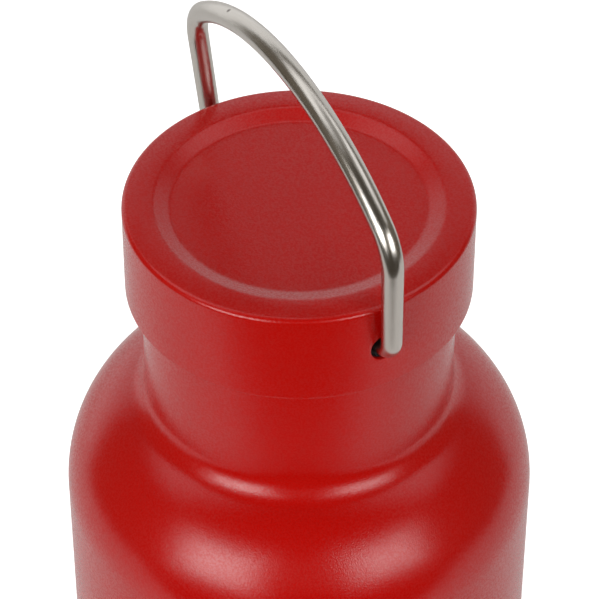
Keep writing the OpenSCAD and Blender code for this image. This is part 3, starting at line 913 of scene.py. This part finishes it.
stamped_steel = round_steel("stamped_steel", colour(0.50, 0.49, 0.47), colour(0.66, 0.65, 0.63),
                            rough=0.26, line_scale=3000, depth=8e-6)
trim_steel = round_steel("spun_trim_steel", colour(0.54, 0.53, 0.51), colour(0.72, 0.71, 0.69),
                         rough=0.2, line_scale=4200, depth=1e-5)
vessel_steel = round_steel("dull_vessel_steel", colour(0.46, 0.455, 0.44),
                           colour(0.58, 0.57, 0.555), rough=0.32, line_scale=1200, depth=6e-6)
lip_steel = round_steel("turned_lip_steel", colour(0.6, 0.59, 0.575), colour(0.74, 0.73, 0.715),
                        rough=0.12, line_scale=5000, depth=4e-6, spread=0.08)

# %% [markdown]
# The parts that no one sees still get the finish that they have: the copper foil is crumpled
# a little, the solder bead is dull and pitted, and the getter is a dull sintered cup.

# %% Hidden metals


def rough_metal(name, dark, light, rough, scale, depth):
    """Metal with an uneven surface that has no direction."""
    metal = Finish(name)
    lumps = metal.noise(scale, 4.0, 0.6)
    fine = metal.noise(scale * 6, 2.0)
    shade = metal.blend(lumps, dark, light)
    finish = metal.surface(Base_Color=shade, Metallic=1.0, Roughness=fine * 0.15 + rough,
                           Normal=metal.bump(lumps + fine * 0.3, depth))
    print(name, len(metal.tree.nodes), "nodes")
    return finish


copper_foil = rough_metal("crumpled_copper_foil", colour(0.60, 0.27, 0.16),
                          colour(0.86, 0.47, 0.30), rough=0.16, scale=150, depth=2e-4)
solder_bead = rough_metal("solder_bead", colour(0.30, 0.30, 0.29), colour(0.52, 0.52, 0.50),
                          rough=0.42, scale=900, depth=1e-4)
getter_metal = rough_metal("sintered_getter", colour(0.16, 0.155, 0.15),
                           colour(0.27, 0.26, 0.25), rough=0.5, scale=2500, depth=5e-5)

# %% [markdown]
# Mouldings and foams are not metal. Moulded plastic has the mould's fine matt grain, closed
# foam has cells, and silicone is soft and pale, with a little light going into it.

# %% Plastics, foam and silicone


def moulded(name, dark, light, rough, scale, depth, cells=False, **more):
    """A plastic or rubber with the mould's grain, or with the cells of a foam."""
    stuff = Finish(name)
    if cells:
        grain = stuff.make("ShaderNodeTexVoronoi", {"feature": "F1"},
                           {"Vector": stuff.place, "Scale": scale}, out="Distance")
    else:
        grain = stuff.noise(scale, 3.0, 0.6)
    cloud = stuff.noise(90, 2.0)
    shade = stuff.blend(grain * 0.6 + cloud * 0.4, dark, light)
    finish = stuff.surface(Base_Color=shade, Roughness=grain * 0.1 + rough,
                           Normal=stuff.bump(grain + cloud * 0.2, depth), **more)
    print(name, len(stuff.tree.nodes), "nodes")
    return finish


black_moulding = moulded("black_moulding", colour(0.014, 0.014, 0.016),
                         colour(0.024, 0.024, 0.027), rough=0.42, scale=2200, depth=2.5e-5)
bush_moulding = moulded("smooth_black_bush", colour(0.010, 0.010, 0.010),
                        colour(0.018, 0.018, 0.018), rough=0.3, scale=3500, depth=8e-6)
cell_foam = moulded("closed_cell_foam", colour(0.55, 0.50, 0.40), colour(0.76, 0.72, 0.62),
                    rough=0.75, scale=900, depth=2e-4, cells=True)
foam_tape = moulded("foam_tape", colour(0.02, 0.02, 0.02), colour(0.05, 0.05, 0.05),
                    rough=0.8, scale=1800, depth=1e-4, cells=True)
white_silicone = moulded("white_silicone", colour(0.66, 0.66, 0.64), colour(0.78, 0.78, 0.76),
                         rough=0.38, scale=1500, depth=6e-6, Subsurface_Weight=0.15,
                         Subsurface_Scale=0.002)

# %% [markdown]
# The frame's record names a material slot for every part, and each slot has one finish here.
# The new pieces get theirs, and so do the frame's own nodes, those that still show and those
# that a piece stands for, because a node keeps its shape and may take a better material.

# %% Dress every piece
FINISH_OF = {
    "powder_red": red_coat, "satin_steel": satin_wire, "base_steel": stamped_steel,
    "disc_steel": trim_steel, "inner_steel": vessel_steel, "lip_steel": lip_steel,
    "copper_foil": copper_foil, "getter_steel": getter_metal, "solder": solder_bead,
    "black_plastic": black_moulding, "bush_plastic": bush_moulding, "foam": cell_foam,
    "pad": foam_tape, "silicone": white_silicone,
}
for piece, body, finish in PIECES.values():
    piece.data.materials.clear()
    piece.data.materials.append(FINISH_OF[finish])
for row in frame["record"]["subparts"]:
    node = frame["nodes"][row["node"]]
    for slot in node.material_slots:
        slot.material = FINISH_OF[row["material_slot"]]
print("finishes used:", len(FINISH_OF))

# %% [markdown]
# ## Room and light
# The bottle stands near the front edge of a white table, so that its side, seen from above,
# mirrors more of the dark room beyond that edge than of the table. The table keeps the
# bottle's shadow. For the camera it is lifted just to white by a little glow, for gloss and
# glass by less, and from below it is clear, so that the base can be looked at too.

# %% The table
TABLE_EDGE, TABLE_DEEP, TABLE_WIDE, TABLE_DROP = 0.185, 3.0, 1.2, 0.0001
EYE_GLOW, MIRROR_GLOW = 0.70, 0.08
RAYS = "Is Camera Ray", "Is Glossy Ray", "Is Transmission Ray"
level_front = Vector((math.cos(VIEW_TURN), math.sin(VIEW_TURN), 0))
clear_selection()
bpy.ops.mesh.primitive_grid_add(x_subdivisions=2, y_subdivisions=2, size=1,
                                location=level_front * (TABLE_EDGE - TABLE_DEEP / 2),
                                rotation=(0, 0, VIEW_TURN))
table = bpy.context.object
table.location.z = -TABLE_DROP
table.scale = (TABLE_DEEP, TABLE_WIDE, 1)
table.name = "table"
bpy.ops.object.transform_apply(location=True, rotation=True, scale=True)
table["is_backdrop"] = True
paint = Finish("white_table")
by_eye, by_gloss, by_glass = (paint.make("ShaderNodeLightPath", out=ray) for ray in RAYS)
seen = by_eye * EYE_GLOW + (by_gloss + by_glass) * MIRROR_GLOW
white = paint.blend(paint.noise(300), colour(0.80, 0.80, 0.80), colour(0.82, 0.82, 0.82))
top = paint.make("ShaderNodeBsdfDiffuse", {}, {"Color": white})
glow = paint.make("ShaderNodeEmission", {}, {"Color": colour(1, 1, 1), "Strength": seen})
lifted = paint.make("ShaderNodeAddShader", {}, {0: top, 1: glow})
below = paint.make("ShaderNodeNewGeometry", out="Backfacing")
clear = paint.make("ShaderNodeBsdfTransparent")
paint.make("ShaderNodeOutputMaterial", {},
           {"Surface": paint.make("ShaderNodeMixShader", {}, {0: below, 1: lifted, 2: clear})})
table.data.materials.append(paint.owner)
print("table", short(table.dimensions, 2))

# %% [markdown]
# A glossy bottle mirrors the room that it stands in, so the world paints that room by
# direction. Up goes from -1, straight down, to 1, straight up. Facing goes from 1, towards
# the camera, to -1, behind the bottle, whatever the height. Front does the same but shrinks
# towards straight up and straight down, and aside grows to the camera's right.

# %% Directions in the room
NO_ZERO = 0.001
room = Finish("room", bpy.data.worlds.new("room"))
bpy.context.scene.world = room.owner
east, north, up = (room.make("ShaderNodeSeparateXYZ", {}, {0: room.place}, out=axis)
                   for axis in "XYZ")
front = east * level_front.x + north * level_front.y
level = (east * east + north * north) ** 0.5 + NO_ZERO
facing = front / level
aside = north * level_front.x - east * level_front.y
print("directions named for the room:", room.owner.name)

# %% [markdown]
# Each part of the room is a product of soft steps, with its brightness. A pale sweep stands
# behind the bottle, a little dimmer to the right. A broad light hangs overhead: it starts
# lower at the sides, is weaker at the very top and fades towards the camera. The sides are
# dim. The camera's own side is dark, but for a faint panel between the soft boxes, and that
# keeps the red deep between its highlights. Dim parts of a room are warmer than its lamps.
# The camera itself, and whatever looks through clear things, sees plain white.

# %% Paint the room
ROOM_BACK, ROOM_HIGH, ROOM_TOP = 0.95, 0.06, 1.15
ROOM_FRONT, ROOM_SIDES, ROOM_DARK = 0.2, 0.09, 0.06
RIGHT_SHARE, ZENITH_SHARE = 0.78, 0.2
WARM, NEUTRAL = colour(1.0, 0.84, 0.62), colour(1, 1, 1)

# The sweep, and the dim strip of wall over it.
sweep = room.ramp(facing + up * 0.3, -0.5, -0.62) * room.ramp(up, 0.61, 0.665, 1.0, 0.0)
sweep = sweep * room.ramp(aside, -0.2, 0.5, 1.0, RIGHT_SHARE) * ROOM_BACK
high = room.ramp(up, 0.645, 0.70) * room.ramp(front, 0.0, -0.25) * ROOM_HIGH

# The panel between the soft boxes, the light overhead, and the sides.
between = room.ramp(facing, 0.75, 0.95) * room.ramp(up, 0.0, 0.15)
between = between * room.ramp(up, 0.6, 0.4) * ROOM_FRONT
overhead = (room.ramp(up - facing * facing * 0.21, 0.58, 0.70)
            * room.ramp(up, 0.9, 0.97, 1.0, ZENITH_SHARE))
overhead = overhead * room.ramp(front, 0.0, 0.28, 1.0, 0.0) * ROOM_TOP
sides = room.ramp(facing * facing, 0.55, 0.2) * room.ramp(up, -0.3, -0.1) * ROOM_SIDES
shade = sweep + high + overhead + between + sides + ROOM_DARK

# What looks straight at the world sees white.
by_eye, by_glass = (room.make("ShaderNodeLightPath", out=ray)
                    for ray in ("Is Camera Ray", "Is Transmission Ray"))
straight_on = by_eye + by_glass
strength = shade * (1 - straight_on) + straight_on
tint = room.blend(room.ramp(strength, 0.05, 0.5), WARM, NEUTRAL)
sky = room.make("ShaderNodeBackground", {}, {"Color": tint, "Strength": strength})
room.make("ShaderNodeOutputWorld", {}, {"Surface": sky})
print("room painted with", len(room.tree.nodes), "nodes")

# %% [markdown]
# The photographer used two soft boxes, low and to both sides of the camera. A soft box is
# brightest in its middle, and its long highlights fade out towards their edges. So each box
# is three area lamps, one inside the other, all pointed at the foot of the neck. Lamps in
# one plane would hide each other, so each smaller one stands a little nearer. A lamp's
# brightness per area is its power divided by its area and by pi.

# %% Two soft boxes
BOX_REACH, BOX_STEP = 4.0, 0.1
BOX_TARGET = Vector((0, 0, 0.19))


def soft_box(name, turn, rise, wide, tall, bright, reach):
    """A soft box beside the camera, turned and raised from its line, all in degrees."""
    data = bpy.data.lights.new(name, "AREA")
    wide, tall = (2 * reach * math.tan(math.radians(size / 2)) for size in (wide, tall))
    data.shape, data.size, data.size_y = "RECTANGLE", wide, tall
    data.energy = bright * wide * tall * math.pi
    box = bpy.data.objects.new(name, data)
    bpy.context.scene.collection.objects.link(box)
    angle, lift = VIEW_TURN + math.radians(turn), math.radians(rise)
    heading = Vector((math.cos(angle) * math.cos(lift), math.sin(angle) * math.cos(lift),
                      math.sin(lift)))
    box.location = BOX_TARGET + reach * heading
    box.rotation_euler = (BOX_TARGET - box.location).to_track_quat("-Z", "Y").to_euler()
    box.visible_camera = False
    print(name, "at", short(box.location, 2), round(data.energy, 2), "W")


SOFT_BOXES = {
    "left": (-38.0, 15.0, ((48, 46, 0.8), (33, 30, 4.4), (16, 14, 1.9))),
    "right": (41.0, 18.5, ((46, 44, 0.6), (32, 28, 3.3), (15, 12, 1.6))),
}
for side, (turn, rise, layers) in SOFT_BOXES.items():
    for layer, (wide, tall, bright) in enumerate(layers):
        soft_box(f"soft_box_{side}_{layer}", turn, rise, wide, tall, bright,
                 BOX_REACH - layer * BOX_STEP)
bpy.context.scene.view_settings.view_transform = "Standard"

# %% [markdown]
# ## How true it is
# Each image point is compared with the place where the finished piece shows. A point counts
# as showing if nothing stands between it and the camera, so edges come from what can be seen.
# The ray starts just off the surface, so that it doesn't meet its own face.

# %% What can be seen
LIFT_OFF, ABOVE_FRAME = 0.0002, 2
bpy.context.view_layer.update()
whole_skin = skin_of([piece for piece, body, finish in PIECES.values()])
to_camera = camera.matrix_world.inverted()


def on_photo(place):
    """Where a place shows in the photograph."""
    seen = to_camera @ place
    return (PHOTO_W / 2 - FOCAL * seen.x / seen.z, PHOTO_H / 2 + FOCAL * seen.y / seen.z)


def showing(places):
    """The picture points of the places that nothing hides and that the frame holds."""
    points = []
    for place in places:
        back = (camera.location - place).normalized()
        x, y = on_photo(place)
        if 0 <= x <= PHOTO_W and -ABOVE_FRAME <= y <= PHOTO_H:
            if whole_skin.ray_cast(place + back * LIFT_OFF, back)[0] is None:
                points.append((x, y))
    return points


cap_seen = showing([v.co for v in cap_cover.data.vertices])
wall_seen = showing([v.co for v in painted_wall.data.vertices])
bail_seen = showing([v.co for v in bail_wire.data.vertices])
hole_seen = showing([v.co for v in cap_cover.data.vertices
                     if v.co.x > 0 and on_hole(v.co, HOLE_R + HOLE_BREAK, 2 * ON_EDGE)])
print("points that show:", len(cap_seen), len(wall_seen), len(bail_seen), len(hole_seen))

# %% [markdown]
# The step down into the dish is too soft to be an edge, so its two points are read from a
# ring of places at its outer end, on the side of the picture where each was read. Then the
# offsets of all points are worked out, and nothing here depends on them.

# %% How far each is off
ahead = level_front * DISH_OUT * MM
step_height = Vector((0, 0, rim_height(DISH_OUT))) * MM
turns = [Matrix.Rotation(math.radians(i), 3, "Z") @ ahead + step_height for i in range(360)]
step_points = [on_photo(place) for place in turns]


def nearest_across(points, x, lower):
    """The point of a ring at this x, on its lower or its upper side of the picture."""
    middle = sum(y for _, y in points) / len(points)
    side = [p for p in points if (p[1] > middle) == lower]
    return min(side, key=lambda p: abs(p[0] - x))


bottom_tip = max(cap_seen, key=lambda p: p[1])
shows = {
    "cap_left_x": (min(x for x, _ in cap_seen), None),
    "cap_right_x": (max(x for x, _ in cap_seen), None),
    "cap_back_y": (None, min(y for _, y in cap_seen)),
    "cap_front_y": (None, bottom_tip[1]),
    "body_left_x": (min(x for x, _ in wall_seen), None),
    "body_right_x": (max(x for x, _ in wall_seen), None),
    "bail_top_y": (None, min(y for _, y in bail_seen)),
    "bail_left_x": (min(x for x, _ in bail_seen), None),
    "bail_right_x": (max(x for x, _ in bail_seen), None),
    "bail_foot_y": (None, max(y for _, y in bail_seen)),
    "side_hole_left": min(hole_seen, key=lambda p: p[0]) if hole_seen else (None, None),
    "dish_front": nearest_across(step_points, IMAGE_POINTS["dish_front"][0], True),
    "dish_back": nearest_across(step_points, IMAGE_POINTS["dish_back"][0], False),
    "wire_nick": on_photo(nick),
}
for name, (x, y) in shows.items():
    point = IMAGE_POINTS[name]
    want_x, want_y = point if isinstance(point, tuple) else (
        (point, None) if name.endswith("_x") else (None, point))
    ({"x": None if x is None or want_x is None else round(x - want_x, 1),
                 "y": None if y is None or want_y is None else round(y - want_y, 1)})

# %% [markdown]
# The frame's own box, kept from the start, and the box of the finished bottle are printed
# side by side.

# %% The sizes, and the end
seen_lowest, seen_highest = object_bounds()
for corner in (cad_lowest, cad_highest, seen_lowest, seen_highest):
    print("size", short(corner, 5))
